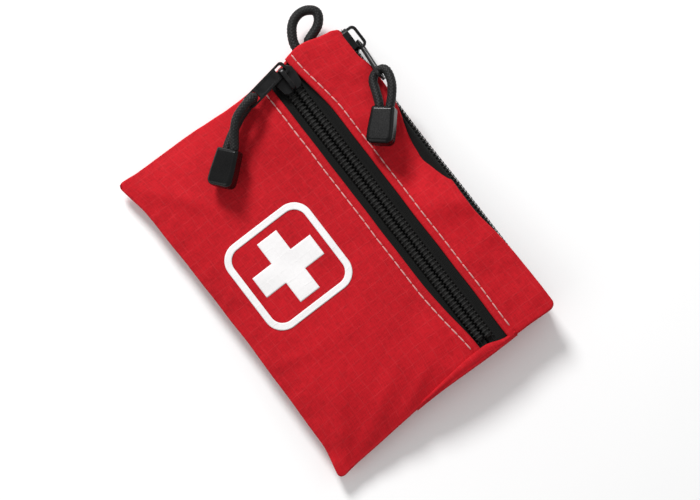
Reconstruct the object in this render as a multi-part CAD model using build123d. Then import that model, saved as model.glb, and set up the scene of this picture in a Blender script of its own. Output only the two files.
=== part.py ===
from build123d import *
from math import pi, radians, tan
import os

# A small zipped first aid pouch, lying on its back.
# Frame: +X along both zips, +Y from the bottom seam to the top zip, +Z out of the front.
# The origin is the middle of the flat back, on the surface that the pouch lies on.

# --- pouch, mm ---
LENGTH = 145.0
BOTTOM_Y = -55.0
TOP_Y = 54.0
CLOTH = 0.9                 # shell fabric with its lining
BACK_CLOTH = 1.1
CROWN_Z = 17.0              # highest point of the front
CROWN_Y = -5.0
BOTTOM_SEAM_Z = 5.7         # where front and back meet along the bottom
CORNER_FRONT_Z = 15.3       # front edge of the squared top corners
TOP_FRONT_Z = 15.7
TOP_BACK_Z = 2.4
WALL = 0.6                  # cloth of the narrow side folds
FLARE = 0.026               # how fast the sides spread towards the bottom

# --- front zip, mm ---
FRONT_ZIP_Y = 24.8
FRONT_ZIP_Z = 14.0          # top of the tape, under the coil
LOWER_FOLD_Y = 17.6
UPPER_FOLD_Y = 32.6

# --- top zip, mm ---
TOP_ZIP_Y = 53.6
TOP_ZIP_Z = 9.0

# --- zip chain and slider, mm ---
TAPE = 0.6
COIL_HEIGHT = 2.0
COIL_HALF = 3.05
CHAIN_GAP = 1.2             # middle of the chain, where the coils hook together
SLIDER_LENGTH = 10.4
SLIDER_WIDTH = 10.0
PLATE = 1.1
PLATE_LOW = 2.3             # underside of the slider's upper plate above the tape
PLATE_TOP = PLATE_LOW + PLATE
BRIDGE_WIDE = 1.8
BRIDGE_THICK = 1.2
BRIDGE_HIGH = 3.0           # clear height under the bridge
BRIDGE_CORNER = 1.0
LOWER_PLATE_INSET = 0.8
LEG_X = SLIDER_LENGTH / 2 - BRIDGE_THICK / 2
EYE_Z = PLATE_TOP + 1.5     # height of the pull's eye on the bridge leg
FRONT_SLIDER_X = -65.6
TOP_SLIDER_X = -64.0

# --- pull tab, mm; it runs from the bar in its eye to the bar that carries the cord ---
TAB_THICK = 1.1
TAB_WIDE = 5.6
BAR = 0.6                   # radius of both bars
EYE_LONG = 3.6
EYE_WIDE = 3.8
LEG_IN_EYE = 2.4            # eye bar to bridge leg
CORD_BAR = 22.3             # eye bar to cord bar
SLOT_LONG = 5.0
SLOT_WIDE = 4.1

# --- cords and cord ends, mm ---
CORD = 3.7
LOOP_CORD = 4.0
TAIL_LONG = 6.5             # of each loop end inside the side seam
END_LONG = 15.5
END_WIDE = 10.4
END_THICK = 7.0
SHELL = 0.9


def side_x(y):
    """Half the pouch's inner length at a height; the bottom corners stand out."""
    return LENGTH / 2 - WALL - FLARE * y


def edge_front(y):
    """Height of the front's side edges: pinched at the bottom, square at the top."""
    rise = min(1.0, max(0.0, (y - BOTTOM_Y) / 72.0))
    smooth = rise * rise * (3.0 - 2.0 * rise)
    low = BOTTOM_SEAM_Z + CLOTH
    return low + (CORNER_FRONT_Z - low) * smooth


def edge_back(y):
    """Height of the back's side edges."""
    rise = (y - BOTTOM_Y) / (TOP_Y - BOTTOM_Y)
    low = BOTTOM_SEAM_Z - BACK_CLOTH
    return low + (TOP_BACK_Z - low) * rise


def front_z(x, y):
    """Outer surface of the front."""
    if y < CROWN_Y:
        part = ((CROWN_Y - y) / (CROWN_Y - BOTTOM_Y)) ** 3.2
        middle = CROWN_Z - (CROWN_Z - BOTTOM_SEAM_Z - CLOTH) * part
    else:
        part = ((y - CROWN_Y) / (TOP_Y - CROWN_Y)) ** 2
        middle = CROWN_Z - (CROWN_Z - TOP_FRONT_Z) * part
    return edge_front(y) + (middle - edge_front(y)) * (1.0 - abs(x / side_x(y)) ** 8)


def back_z(x, y):
    """Outer surface of the back: it dips just under the flat patch that it rests on."""
    span = BOTTOM_Y if y < 0 else TOP_Y
    rim = BOTTOM_SEAM_Z - BACK_CLOTH if y < 0 else TOP_BACK_Z
    middle = -0.3 + (rim + 0.3) * abs(y / span) ** 12
    return edge_back(y) + (middle - edge_back(y)) * (1.0 - abs(x / side_x(y)) ** 8)


STATIONS = (-1, -0.95, -0.87, -0.76, -0.6, -0.35, 0, 0.35, 0.6, 0.76, 0.87, 0.95, 1)


def sheet(height, ys, thick, down=True, stations=STATIONS):
    """A thin solid under (or over) z = height(x, y); a station is a share of side_x."""
    wires = []
    step = -thick if down else thick
    for share in stations:
        outer = [Vector(share * side_x(y), y, height(share * side_x(y), y)) for y in ys]
        inner = [p + Vector(0, 0, step) for p in outer]
        wires.append(Wire([
            Edge.make_spline(outer),
            Edge.make_line(outer[-1], inner[-1]),
            Edge.make_spline(inner[::-1]),
            Edge.make_line(inner[0], outer[0]),
        ]))
    return Solid.make_loft(wires)


def spread(low, high, count):
    return [low + (high - low) * i / (count - 1) for i in range(count)]


def save(name, *shapes):
    solids = [s for shape in shapes for s in shape.solids()]
    body = solids[0] if len(solids) == 1 else Compound(children=solids)
    export_step(body, f"parts/{name}.step")


def at(frame, x, y, z):
    """A point given in a frame, in the pouch's own frame."""
    return frame.from_local_coords(Vector(x, y, z))


# ---------------------------------------------------------------- shell
def front_lower_panel():
    return sheet(front_z, spread(BOTTOM_Y, LOWER_FOLD_Y, 13), CLOTH)


def front_upper_panel():
    return sheet(front_z, spread(UPPER_FOLD_Y, TOP_Y, 7), CLOTH)


def back_panel():
    ys = [-55, -52, -48, -42, -32, -16, 0, 16, 32, 42, 48, 51.5, TOP_Y]
    body = sheet(back_z, ys, BACK_CLOTH, down=False)
    above = Pos(0, 0, 20) * Box(2 * LENGTH, 2 * LENGTH, 40)
    return body & above


DIVIDER_STATIONS = (-0.97, -0.89, -0.75, -0.4, 0, 0.4, 0.75, 0.89, 0.97)


def divider_z(x, y):
    """The divider hangs between front and back, nearer the front."""
    floor = back_z(x, y) + BACK_CLOTH
    roof = front_z(x, min(y, LOWER_FOLD_Y)) - CLOTH
    return floor + 0.63 * (roof - floor)


def pocket_divider():
    return sheet(divider_z, [-50, -46, -40, -34, -26, -10, 10, 34], 0.5, stations=DIVIDER_STATIONS)


def side_fold(side):
    """The narrow fold of cloth that closes one side, from the back's edge to the front's."""
    ys = spread(BOTTOM_Y + 1.0, TOP_Y, 9)
    low = [Vector(side * (side_x(y) + 0.02), y, edge_back(y) + 0.1) for y in ys]
    high = [Vector(side * (side_x(y) + 0.02), y, edge_front(y) - 0.1) for y in ys]
    outline = Wire([
        Edge.make_spline(low),
        Edge.make_line(low[-1], high[-1]),
        Edge.make_spline(high[::-1]),
        Edge.make_line(high[0], low[0]),
    ])
    return extrude(Face(outline), amount=WALL, dir=(side, 0, 0))


def topstitch(y, x_low, x_high):
    """A row of single stitches, each lying on the cloth."""
    pitch = 3.9
    count = int((x_high - x_low) / pitch)
    stitches = []
    for i in range(count):
        x = x_low + pitch * (i + 0.5)
        slope = (front_z(x + 1, y) - front_z(x - 1, y)) / 2
        stitch = Rot(0, -slope * 180 / pi, 0) * Box(3.2, 0.7, 0.5)
        stitches.append(Pos(x, y, front_z(x, y)) * stitch)
    return stitches


# ---------------------------------------------------------------- emblem
EMBLEM_X = -5.7
EMBLEM_Y = -20.3
EMBLEM_SIZE = 41.0
EMBLEM_LINE = 2.8
CROSS_SPAN = 28.8
CROSS_ARM = 9.6


def emblem_print():
    """A plain cross in a square border with round corners, printed on the front."""
    border = RectangleRounded(EMBLEM_SIZE, EMBLEM_SIZE, 8)
    border -= RectangleRounded(EMBLEM_SIZE - 2 * EMBLEM_LINE, EMBLEM_SIZE - 2 * EMBLEM_LINE, 5.5)
    cross = Rectangle(CROSS_SPAN, CROSS_ARM) + Rectangle(CROSS_ARM, CROSS_SPAN)
    drawing = Pos(EMBLEM_X, EMBLEM_Y, 0) * (border + cross)
    block = extrude(drawing, amount=30)
    film = sheet(lambda x, y: front_z(x, y) + 0.15, spread(-46, 5, 9), 0.2, stations=spread(-0.47, 0.33, 6))
    return block & film


# ---------------------------------------------------------------- zips
def zip_frame(y, z, outward):
    """Frame of one chain: x along it, z out of it, origin on the tape's outer side."""
    return Plane(origin=(0, y, z), x_dir=(1, 0, 0), z_dir=outward)


FRONT_CHAIN = zip_frame(FRONT_ZIP_Y, FRONT_ZIP_Z, (0, 0, 1))
TOP_CHAIN = zip_frame(TOP_ZIP_Y, TOP_ZIP_Z, (0, 1, 0))
CHAIN_END = 70.1


def coil_half(chain, side):
    """One row of the coil chain as the plain bar that encloses it."""
    bar = Box(2 * CHAIN_END, COIL_HALF, COIL_HEIGHT)
    bar = fillet(bar.edges().filter_by(Axis.X).sort_by(Axis.Z)[-2:], 0.7)
    middle = side * (CHAIN_GAP / 2 + COIL_HALF / 2)
    return chain.location * Pos(0, middle, COIL_HEIGHT / 2) * bar


def front_tape(side):
    """Tape beside the chain, then sloping up under the hem of the panel it is sewn to."""
    near = side * CHAIN_GAP / 2
    straight = side * 5.2
    hem_y = LOWER_FOLD_Y - 3.2 if side < 0 else UPPER_FOLD_Y + 3.2
    fold_y = LOWER_FOLD_Y if side < 0 else UPPER_FOLD_Y
    wires = []
    for share in STATIONS:
        points = []
        for y, lift in ((FRONT_ZIP_Y + near, 0), (FRONT_ZIP_Y + straight, 0), (fold_y, 2.0), (hem_y, 2.6)):
            x = share * (side_x(y) - 0.1)
            roof = front_z(x, y) - CLOTH - 0.05
            points.append(Vector(x, y, FRONT_ZIP_Z + min(lift, roof - FRONT_ZIP_Z) if lift else FRONT_ZIP_Z))
        under = [p - Vector(0, 0, TAPE) for p in points]
        loop = points + under[::-1]
        wires.append(Wire.make_polygon(loop, close=True))
    return Solid.make_loft(wires, ruled=True)


def top_tape(side):
    """Tape of the top zip: flat beside the chain, then turned down inside the panel."""
    flat = CHAIN_GAP / 2
    turn = 5.2
    depth = 4.0
    profile = Polyline(
        (flat, 0), (turn, 0), (turn, -depth), (turn - TAPE, -depth), (turn - TAPE, -TAPE), (flat, -TAPE),
        close=True)
    face = make_face(profile)
    if side < 0:
        face = mirror(face, about=Plane.YZ)
    strip = extrude(Plane.YZ * face, amount=2 * CHAIN_END)
    return TOP_CHAIN.location * Pos(-CHAIN_END, 0, 0) * strip


def slider_body():
    """Both plates, the post between them and the side flanges, in the slider's frame."""
    half = SLIDER_LENGTH / 2
    shoulder = SLIDER_WIDTH / 2
    tail = shoulder - 0.7
    outline = Polyline(
        (-half, -shoulder + 1.4), (-half + 1.6, -shoulder), (-0.5, -shoulder), (half - 1.2, -tail),
        (half, -tail + 1.2), (half, tail - 1.2), (half - 1.2, tail), (-0.5, shoulder),
        (-half + 1.6, shoulder), (-half, shoulder - 1.4), close=True)
    plan = make_face(outline)
    upper = Pos(0, 0, PLATE_LOW) * extrude(plan, amount=PLATE)
    upper = fillet(upper.edges().group_by(Axis.Z)[-1], 0.45)
    small = offset(plan, amount=-LOWER_PLATE_INSET)
    lower = Pos(0, 0, -TAPE - 0.3 - PLATE) * extrude(small, amount=PLATE)
    lower = fillet(lower.edges().group_by(Axis.Z)[0], 0.4)
    rim = extrude(plan, amount=PLATE_LOW - 0.3) - Pos(0, 0, 1) * Box(30, 2 * (COIL_HALF + 0.9), 6)
    post_long = 2.8
    post_high = PLATE_LOW + TAPE + 0.3
    post = Pos(-half + 1.0 + post_long / 2, 0, PLATE_LOW - post_high / 2) * Box(post_long, 0.6, post_high + 0.4)
    return upper + lower + Pos(0, 0, 0.3) * rim + post


def slider_bridge():
    """The arch over the upper plate that holds the pull."""
    half = SLIDER_LENGTH / 2
    rise = BRIDGE_HIGH + BRIDGE_THICK
    outer = Pos(0, rise / 2) * Rectangle(2 * half, rise)
    inner = Pos(0, BRIDGE_HIGH / 2) * Rectangle(2 * (half - BRIDGE_THICK), BRIDGE_HIGH)
    outer = fillet(outer.vertices().group_by(Axis.Y)[-1], BRIDGE_CORNER + BRIDGE_THICK)
    inner = fillet(inner.vertices().group_by(Axis.Y)[-1], BRIDGE_CORNER)
    side = Plane(origin=(0, BRIDGE_WIDE / 2, 0), x_dir=(1, 0, 0), z_dir=(0, -1, 0))
    arch = extrude(side * (outer - inner), amount=BRIDGE_WIDE)
    return Pos(0, 0, PLATE_TOP) * arch


def placed(chain, x, shape):
    return chain.location * Pos(x, 0, 0) * shape


# ---------------------------------------------------------------- pulls
def tab_frame(leg, outward, along, yaw, pitch, roll):
    """Frame of a pull tab: x from its eye bar to its cord bar, z out of its face."""
    flat = Plane(origin=leg, x_dir=along, z_dir=outward)
    turned = flat.location * Rot(0, 0, yaw) * Rot(0, -pitch, 0) * Rot(roll, 0, 0)
    return Plane(turned * Pos(-LEG_IN_EYE, 0, 0))


FRONT_LEG = (FRONT_SLIDER_X - LEG_X, FRONT_ZIP_Y, FRONT_ZIP_Z + EYE_Z)
TOP_LEG = (TOP_SLIDER_X + LEG_X, TOP_ZIP_Y + EYE_Z, TOP_ZIP_Z)
FRONT_TAB = tab_frame(FRONT_LEG, (0, 0, 1), (0, -1, 0), yaw=11.2, pitch=13.5, roll=0)
TOP_TAB = tab_frame(TOP_LEG, (0, 1, 0), (1, 0, 0), yaw=-36.0, pitch=-9.0, roll=15)


def pull_tab(frame):
    """A long flat tab with an eye at one end and a cord slot at the other."""
    start = -BAR
    end = CORD_BAR + BAR
    plan = Pos((start + end) / 2, 0) * RectangleRounded(end - start, TAB_WIDE, 1.6)
    eye_low = BAR
    plan -= Pos(eye_low + EYE_LONG / 2, 0) * RectangleRounded(EYE_LONG, EYE_WIDE, 0.8)
    slot_high = CORD_BAR - BAR
    plan -= Pos(slot_high - SLOT_LONG / 2, 0) * RectangleRounded(SLOT_LONG, SLOT_WIDE, 0.8)
    tab = extrude(plan, amount=TAB_THICK / 2, both=True)
    groove_low = eye_low + EYE_LONG + 1.2
    groove_high = slot_high - SLOT_LONG - 1.2
    groove = Pos((groove_low + groove_high) / 2, 0, TAB_THICK / 2) * Box(
        groove_high - groove_low, TAB_WIDE - 2.2, 0.5)
    return frame.location * (tab - groove)


# Routes of the cords: from inside the cord end, round the tab's bar and back.
FRONT_ROUTE = [
    (-53.4, -17.2, 21.9), (-57.5, -11.8, 21.9), (-61.6, -5.4, 19.9), (-65.2, 1.6, 19.6),
    (-66.9, 8.2, 19.5), (-67.3, 9.7, 26.1), (-66.4, 4.6, 27.0),
    (-64.6, -1.6, 25.9), (-60.0, -6.0, 24.6), (-54.7, -9.6, 23.5), (-50.6, -15.0, 23.5),
]
TOP_ROUTE = [
    (-28.8, 42.2, 22.1), (-33.9, 47.4, 21.4), (-39.6, 49.9, 19.9), (-46.3, 52.5, 17.6),
    (-46.4, 59.2, 19.7), (-39.6, 57.7, 21.8), (-34.6, 53.8, 22.5), (-31.2, 50.0, 22.7), (-26.1, 44.8, 23.4),
]
HANG_ROUTE = [
    (-74.2, 36.4, 9.6), (-79.0, 37.4, 9.3), (-85.0, 41.8, 9.0), (-86.2, 48.2, 9.0),
    (-82.4, 53.2, 9.0), (-77.4, 50.1, 9.0), (-75.5, 45.1, 9.3), (-74.2, 41.3, 9.6),
]


def arc_radii(route):
    """The largest arc at each corner that leaves a tenth of the shorter run straight."""
    points = [Vector(*p) for p in route]
    radii = []
    for before, corner, after in zip(points, points[1:], points[2:]):
        one, two = corner - before, after - corner
        turn = radians(one.get_angle(two))
        radii.append(0.45 * min(one.length, two.length) / tan(turn / 2))
    return radii


def tube(route, width):
    """A round cord along straight runs joined by tangent arcs."""
    radii = arc_radii(route)
    path = FilletPolyline(*route, radius=radii)
    start = path @ 0
    section = Plane(origin=start, z_dir=path % 0) * Circle(width / 2)
    cord = sweep(section, path=path)
    ratio = cord.volume / (pi * (width / 2) ** 2 * path.length)
    shown = ", ".join(f"{r:.1f}" for r in radii)
    print(f"cord length {path.length:.1f}, volume ratio {ratio:.3f}, radii {shown}")
    return cord


def hang_loop():
    """The loop outside the side fold; its ends are round where they bend at the seam."""
    ends = [Pos(*HANG_ROUTE[0]) * Sphere(LOOP_CORD / 2), Pos(*HANG_ROUTE[-1]) * Sphere(LOOP_CORD / 2)]
    return tube(HANG_ROUTE, LOOP_CORD) + ends


def hang_loop_tails():
    """The two ends of the loop's cord, sewn into the side seam."""
    tails = []
    for point in (HANG_ROUTE[0], HANG_ROUTE[-1]):
        seam = -side_x(point[1]) - WALL
        section = Plane(origin=(seam, point[1], point[2]), z_dir=(1, 0, 0)) * Circle(LOOP_CORD / 2)
        tails.append(extrude(section, amount=TAIL_LONG))
    return tails


def end_frame(mouth, along, face):
    return Plane(origin=mouth, x_dir=along, z_dir=face)


FRONT_END = end_frame((-56.1, -10.7, 22.7), (0.61, -0.79, 0.0), (-0.334, -0.258, 0.906))
TOP_END = end_frame((-32.6, 48.6, 22.0), (0.70, -0.70, 0.11), (-0.318, -0.167, 0.94))


def cord_end(half_sign):
    """One half of the moulded cord end, split along its middle, in its own frame."""
    mouth_half = END_WIDE / 2 - 0.4
    tail_half = END_WIDE / 2 + 0.3
    plan = make_face(Polyline(
        (0, -mouth_half), (END_LONG * 0.62, -tail_half), (END_LONG, -tail_half),
        (END_LONG, tail_half), (END_LONG * 0.62, tail_half), (0, mouth_half), close=True))
    plan = fillet(plan.vertices().group_by(Axis.X)[-1], 2.6)
    plan = fillet(plan.vertices().group_by(Axis.X)[0], 0.9)
    body = extrude(plan, amount=END_THICK / 2, both=True)
    body = fillet(body.edges().group_by(Axis.Z)[-1] + body.edges().group_by(Axis.Z)[0], 1.7)
    pocket = Pos(END_LONG / 2 - 1, 0, 0) * Box(END_LONG - 2.4, END_WIDE - 2 * SHELL, END_THICK - 2 * SHELL)
    pocket = fillet(pocket.edges().filter_by(Axis.X), 1.5)
    mouth = Box(4, 8.0, 4.6)
    body = body - pocket - mouth
    keep = Pos(END_LONG / 2, 0, half_sign * (END_THICK / 2 + 0.02)) * Box(3 * END_LONG, 3 * END_WIDE, END_THICK)
    return body & keep


def cord_knot():
    """The melted stopper that holds both cord tails inside the cord end."""
    knot = Pos(END_LONG - 5.2, 0, 0) * Box(5.0, 6.6, 4.4)
    return fillet(knot.edges(), 1.2)


# ---------------------------------------------------------------- contents
def packet(x, y, z, long, wide, high, round_edge):
    body = Box(long, wide, high)
    return Pos(x, y, z + high / 2) * fillet(body.edges(), round_edge)


def stack(x, y, z, long, wide, sheet_high, count):
    return [packet(x, y, z + i * (sheet_high + 0.05), long, wide, sheet_high, sheet_high * 0.3)
            for i in range(count)]


def bandage_roll(x, y, z, long, wide, high):
    """A conforming bandage, wound and pressed flat."""
    section = SlotOverall(wide, high)
    turn = Plane(origin=(x - long / 2, y, z + high / 2), x_dir=(0, 1, 0), z_dir=(1, 0, 0))
    return extrude(turn * section, amount=long)


def tape_roll(x, y, z, outer, core, high):
    ring = Circle(outer / 2) - Circle(core / 2)
    return Pos(x, y, z) * extrude(ring, amount=high)


def tape_core(x, y, z, core, high):
    ring = Circle(core / 2 - 0.05) - Circle(core / 2 - 1.2)
    return Pos(x, y, z) * extrude(ring, amount=high)


def tweezers(x, y, z):
    """Two spring arms joined at one end."""
    plan = Polyline((0, 0.4), (60, 3.6), (66, 1.0), (66, 0.2), (60, 2.4), (2, 0.4), (2, -0.4),
                    (60, -2.4), (66, -0.2), (66, -1.0), (60, -3.6), (0, -0.4), close=True)
    return Pos(x, y, z) * extrude(make_face(plan), amount=3.0)


def contents():
    floor = 2.1
    pocket_floor = 11.2
    return {
        "foil_blanket": [packet(-29, -24, floor, 56, 24, 6.2, 1.4)],
        "triangular_bandage": [packet(30, -24, floor, 54, 24, 6.2, 1.6)],
        "roller_bandage": [bandage_roll(-32, -3, floor, 50, 15, 6.8)],
        "tape_roll": [tape_roll(5, -3, floor, 17, 9, 6.4)],
        "tape_roll_core": [tape_core(5, -3, floor, 9, 6.4)],
        "gloves_pack": [packet(37, -3, floor, 42, 16, 5.0, 1.4)],
        "gauze_pads": stack(-36, 24, floor, 40, 33, 1.4, 4),
        "tweezers": [tweezers(-56, 45.3, 4.2)],
        "antiseptic_wipes": stack(-32, -12, pocket_floor, 36, 28, 0.8, 4),
        "adhesive_plasters": stack(-32, 8, pocket_floor, 60, 9, 0.5, 6),
    }


def main():
    os.makedirs("parts", exist_ok=True)
    save("front_lower_panel", front_lower_panel())
    save("front_upper_panel", front_upper_panel())
    save("back_panel", back_panel())
    save("pocket_divider", pocket_divider())
    save("left_side_fold", side_fold(-1))
    save("right_side_fold", side_fold(1))
    save("lower_topstitch", *topstitch(LOWER_FOLD_Y - 3.0, -67.5, 67.5))
    save("upper_topstitch", *topstitch(UPPER_FOLD_Y + 3.0, -67.5, 67.5))
    save("emblem_print", emblem_print())

    save("front_zip_tape_lower", front_tape(-1))
    save("front_zip_tape_upper", front_tape(1))
    save("front_zip_coil_lower", coil_half(FRONT_CHAIN, -1))
    save("front_zip_coil_upper", coil_half(FRONT_CHAIN, 1))
    save("top_zip_tape_front", top_tape(-1))
    save("top_zip_tape_back", top_tape(1))
    save("top_zip_coil_front", coil_half(TOP_CHAIN, -1))
    save("top_zip_coil_back", coil_half(TOP_CHAIN, 1))

    for name, chain, x, frame, cord_frame, route in (
        ("front", FRONT_CHAIN, FRONT_SLIDER_X, FRONT_TAB, FRONT_END, FRONT_ROUTE),
        ("top", TOP_CHAIN, TOP_SLIDER_X, TOP_TAB, TOP_END, TOP_ROUTE),
    ):
        save(f"{name}_slider_body", placed(chain, x, slider_body()))
        save(f"{name}_slider_bridge", placed(chain, x, slider_bridge()))
        save(f"{name}_pull_tab", pull_tab(frame))
        save(f"{name}_pull_cord", tube(route, CORD))
        save(f"{name}_cord_end_face", cord_frame.location * cord_end(1))
        save(f"{name}_cord_end_back", cord_frame.location * cord_end(-1))
        save(f"{name}_cord_knot", cord_frame.location * cord_knot())
    save("hang_loop", hang_loop())
    save("hang_loop_tails", *hang_loop_tails())

    for name, pieces in contents().items():
        save(name, *pieces)
    print("front bar", FRONT_TAB.from_local_coords(Vector(CORD_BAR, 0, 0)), FRONT_TAB.x_dir, FRONT_TAB.y_dir)
    print("top bar", TOP_TAB.from_local_coords(Vector(CORD_BAR, 0, 0)), TOP_TAB.x_dir, TOP_TAB.y_dir)


main()
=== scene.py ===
from math import cos, exp, floor, pi, radians, sin
import bpy
from mathutils import Matrix, Vector, noise


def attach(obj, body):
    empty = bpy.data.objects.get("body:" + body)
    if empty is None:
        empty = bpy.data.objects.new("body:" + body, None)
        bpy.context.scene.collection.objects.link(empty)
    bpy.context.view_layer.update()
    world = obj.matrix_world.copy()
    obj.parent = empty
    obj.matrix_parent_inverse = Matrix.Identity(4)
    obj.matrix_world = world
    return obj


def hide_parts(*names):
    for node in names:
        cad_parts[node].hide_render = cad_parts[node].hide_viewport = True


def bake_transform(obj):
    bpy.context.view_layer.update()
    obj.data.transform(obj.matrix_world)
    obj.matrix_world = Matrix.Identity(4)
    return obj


# A small zipped first aid pouch, lying on its back on a pale floor.
# +X runs along both zips, +Y from the bottom seam to the top zip, +Z out of the front.
# Shapes are worked out in millimetres and stored in metres.

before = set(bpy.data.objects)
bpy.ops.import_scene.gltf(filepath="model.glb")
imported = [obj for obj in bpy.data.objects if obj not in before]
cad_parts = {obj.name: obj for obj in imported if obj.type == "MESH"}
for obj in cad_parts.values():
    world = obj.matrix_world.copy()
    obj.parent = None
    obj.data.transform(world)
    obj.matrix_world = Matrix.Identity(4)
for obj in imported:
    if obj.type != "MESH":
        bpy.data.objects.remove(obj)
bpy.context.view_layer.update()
MM = 0.001

# ---- pouch, mm
LENGTH = 145.0
BOTTOM_Y = -55.0
TOP_Y = 54.0
BACK_CLOTH = 1.1
CLOTH = 0.9
LOW_HALF = 72.0             # half width at which the lower outlines are looked up
TOP_HALF = 71.0             # the same for the top edge
CROWN_Z = 17.0
CROWN_Y = -5.0
BOTTOM_SEAM_Z = 5.7
CORNER_FRONT_Z = 15.3
TOP_FRONT_Z = 15.7
TOP_BACK_Z = 2.4
WALL = 0.6
FLARE = 0.026               # how much wider the pouch gets towards its bottom seam
PILLOW = 0.6                # how much the lower front falls away towards its sides
CORNER_RADIUS = 3.0

FRONT_ZIP_Y = 24.8
FRONT_ZIP_Z = 14.0
LOWER_FOLD_Y = 17.6
UPPER_FOLD_Y = 32.6
TOP_ZIP_Y = 53.6
TOP_ZIP_Z = 9.0

SKIN = 0.42                 # one layer of cloth
ROLL = 0.85                 # radius of a turned edge
ROLL_GAP = 0.25             # from a turned edge to the pouch's outline
EDGE_TURN = radians(115)    # how far the cloth turns over at a closed edge
HEM_RADIUS = 0.45
HEM_DEPTH = 6.0
SIDE_TOP_Y = TOP_Y - 1.1    # where a side fold turns in over the end of the top zip
SIDE_TURN = 1.2             # radius of that turn
STITCH_PITCH = 3.9
STITCH_LONG = 3.55
STITCH_BACK = 3.0           # from a fold to its row of stitches
RIPSTOP = 5.0               # pitch of the thicker threads
THREAD = 0.62               # pitch of the cloth's weave

EMBLEM_X = -5.7
EMBLEM_Y = -20.3
EMBLEM_SIZE = 41.0
EMBLEM_LINE = 2.8
EMBLEM_CORNER = 8.0
CROSS_SPAN = 28.8
CROSS_ARM = 9.6
PRINT = 0.10                # how far the print stands on the cloth
PRINT_FILM = 0.12           # thickness of the print

# ---- zips, mm
COIL_PITCH = 1.68
COIL_HEAD = 0.42            # from the middle of the chain to the heads of a coil
COIL_OUTER = 3.45
COIL_UP = 1.0               # middle of a coil above its tape
COIL_HALF_HIGH = 0.62
COIL_WIRE = 0.36
COIL_CORE = 1.2             # half width of the filler cord inside a coil
COIL_LEAD = 0.6             # from the chain's end to the first turn
CHAIN_END = 70.1
CHAIN_STOP = 67.6           # where the coils go under the fold at the right
SEWING_STEP = 0.42
SEWING_ACROSS = 2.55
SEWING_UP = 1.98
TAPE = 0.45                 # thickness of a tape
TAPE_INNER = 0.5            # from the middle of the chain to a tape's edge
FRONT_TAPE_END = 70.7
FRONT_TAPE_WIDE = 9.6
TOP_TAPE_END = 69.8
TOP_TAPE_WIDE = 4.5

# ---- cords, metres
FRONT_ROUTE = [
    (-0.0534, -0.0172, 0.0219), (-0.0575, -0.0118, 0.0219), (-0.0616, -0.0054, 0.0199),
    (-0.0652, 0.0016, 0.0196), (-0.0669, 0.0082, 0.0195), (-0.0673, 0.0097, 0.0261),
    (-0.0664, 0.0046, 0.0270), (-0.0646, -0.0016, 0.0259), (-0.0600, -0.0060, 0.0246),
    (-0.0547, -0.0096, 0.0235), (-0.0506, -0.0150, 0.0235),
]
TOP_ROUTE = [
    (-0.0288, 0.0422, 0.0221), (-0.0339, 0.0474, 0.0214), (-0.0396, 0.0499, 0.0199),
    (-0.0463, 0.0525, 0.0176), (-0.0464, 0.0592, 0.0197), (-0.0396, 0.0577, 0.0218),
    (-0.0346, 0.0538, 0.0225), (-0.0312, 0.0500, 0.0227), (-0.0261, 0.0448, 0.0234),
]
HANG_ROUTE = [
    (-0.0700, 0.0368, 0.0096), (-0.0742, 0.0364, 0.0096), (-0.0790, 0.0374, 0.0093),
    (-0.0850, 0.0418, 0.0090), (-0.0862, 0.0482, 0.0090), (-0.0824, 0.0532, 0.0090),
    (-0.0774, 0.0501, 0.0090), (-0.0755, 0.0451, 0.0093), (-0.0742, 0.0413, 0.0096),
    (-0.0700, 0.0402, 0.0096),
]
HANG_EXIT = (-0.0742, 0.0364, 0.0096)
HANG_BEND = ((-0.0736, 0.0389, 0.0096), (-0.0790, 0.0400, 0.0094))
CORD = 0.0037
LOOP_CORD = 0.0040
FRONT_CORD_LENGTH = 0.0653
TOP_CORD_LENGTH = 0.0516
LOOP_CORD_LENGTH = 0.0465

# ---- braid, mm
BRAID_LAY = 8.4             # length of one turn of a strand
BRAID_STRANDS = 6           # each way round
BRAID_STEP = 0.33
STRAND_HALF_WIDE = 0.70
STRAND_HALF_THICK = 0.24


# ---- numbers
def clamp(value, low=0.0, high=1.0):
    return max(low, min(high, value))


def smooth(value):
    """0 to 1 with a gentle start and end."""
    value = clamp(value)
    return value * value * (3.0 - 2.0 * value)


def bump(value, middle, width):
    return exp(-((value - middle) / width) ** 2)


def rough_noise(x, y, seed):
    return noise.noise(Vector((x, y, seed)))


def spread(low, high, count):
    """Evenly spaced numbers from low to high."""
    return [low + (high - low) * i / (count - 1) for i in range(count)]


# ---- pouch surfaces
def side_x(y):
    """Half width inside the side cloth."""
    return LENGTH / 2 - WALL - FLARE * y


def left_edge(y):
    """Outline of the left side: it bulges beside the top compartment."""
    bulge = 3.1 * bump(y, 37.0, 9.5)
    waist = 1.3 * bump(y, 2.0, 16.0)
    return side_x(y) + WALL + bulge - waist + 0.7 * bump(y, BOTTOM_Y, 6.0)


def right_edge(y):
    """Outline of the right side: drawn in between its two corners."""
    bulge = 0.9 * bump(y, TOP_Y, 9.0)
    waist = 1.9 * bump(y, -8.0, 26.0)
    return side_x(y) + WALL + bulge - waist + 0.7 * bump(y, BOTTOM_Y, 6.0)


def half_width(side, y):
    return left_edge(y) if side < 0 else right_edge(y)


def bottom_edge(x):
    """Bottom edge, drawn in between its two corners."""
    corner = 74.0
    ears = 1.9 * smooth((corner - abs(x)) / 17.0)
    drawn = 1.6 * (1.0 - abs(x / corner) ** 2.4) + ears + 0.5 * rough_noise(x / 17.0, 0.0, 3.0)
    return BOTTOM_Y + drawn


def top_edge(x):
    """Top edge of the front: it laps over the zip, and is pressed in left of the middle."""
    short = 1.7 * smooth((-50.0 - x) / 8.0)
    return TOP_Y + 1.5 - short - 5.4 * bump(x, -15.0, 14.0) - 2.9 * bump(x, 18.0, 17.0)


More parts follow.
